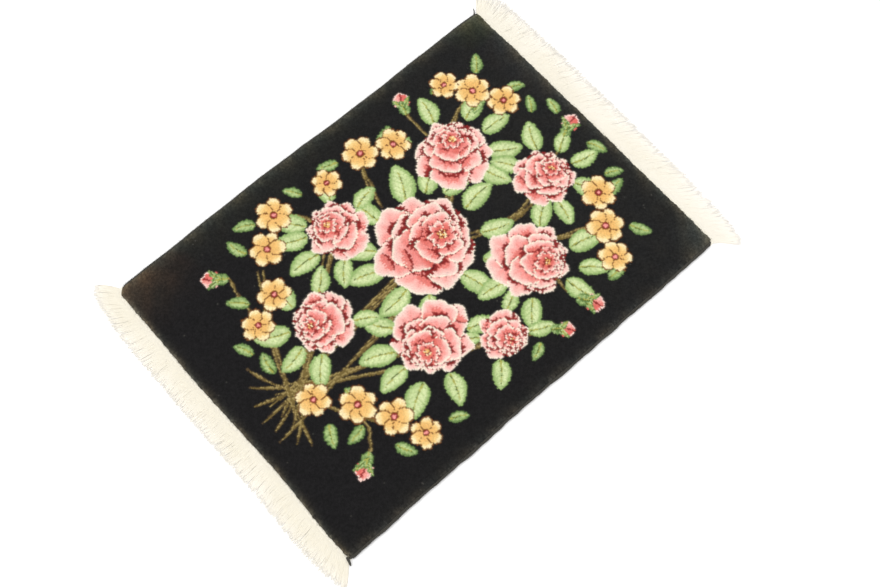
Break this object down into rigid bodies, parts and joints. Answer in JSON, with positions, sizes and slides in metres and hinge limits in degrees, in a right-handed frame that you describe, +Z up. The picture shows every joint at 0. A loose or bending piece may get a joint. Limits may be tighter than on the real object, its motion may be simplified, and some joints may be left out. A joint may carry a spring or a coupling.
{
  "type": "persian rug",
  "caption": "Small flat knotted-pile rug with overcast side bindings and a cotton fringe at each end, lying flat.",
  "frame": {"origin": "the middle of the woven field, on its underside, which lies on the surface", "axes": "+X across the rug, +Y along it towards the end with the longer fringe, +Z up out of the pile"},
  "size_m": [0.6653, 0.9219, 0.0103],
  "materials": {
    "wool_pile": "short cut wool pile, matt with a soft sheen, near black with a flower spray in crimson, coral, pink, yellow and green knots",
    "binding_wool": "dark grey-brown wool yarn, overcast side by side",
    "cotton_warp": "unbleached cream cotton yarn, soft and matt"
  },
  "bodies": {
    "root": {"rug_cloth": "wool_pile", "side_binding_left": "binding_wool", "side_binding_right": "binding_wool", "fringe_near": "cotton_warp", "fringe_far": "cotton_warp"}
  },
  "joints": []
}
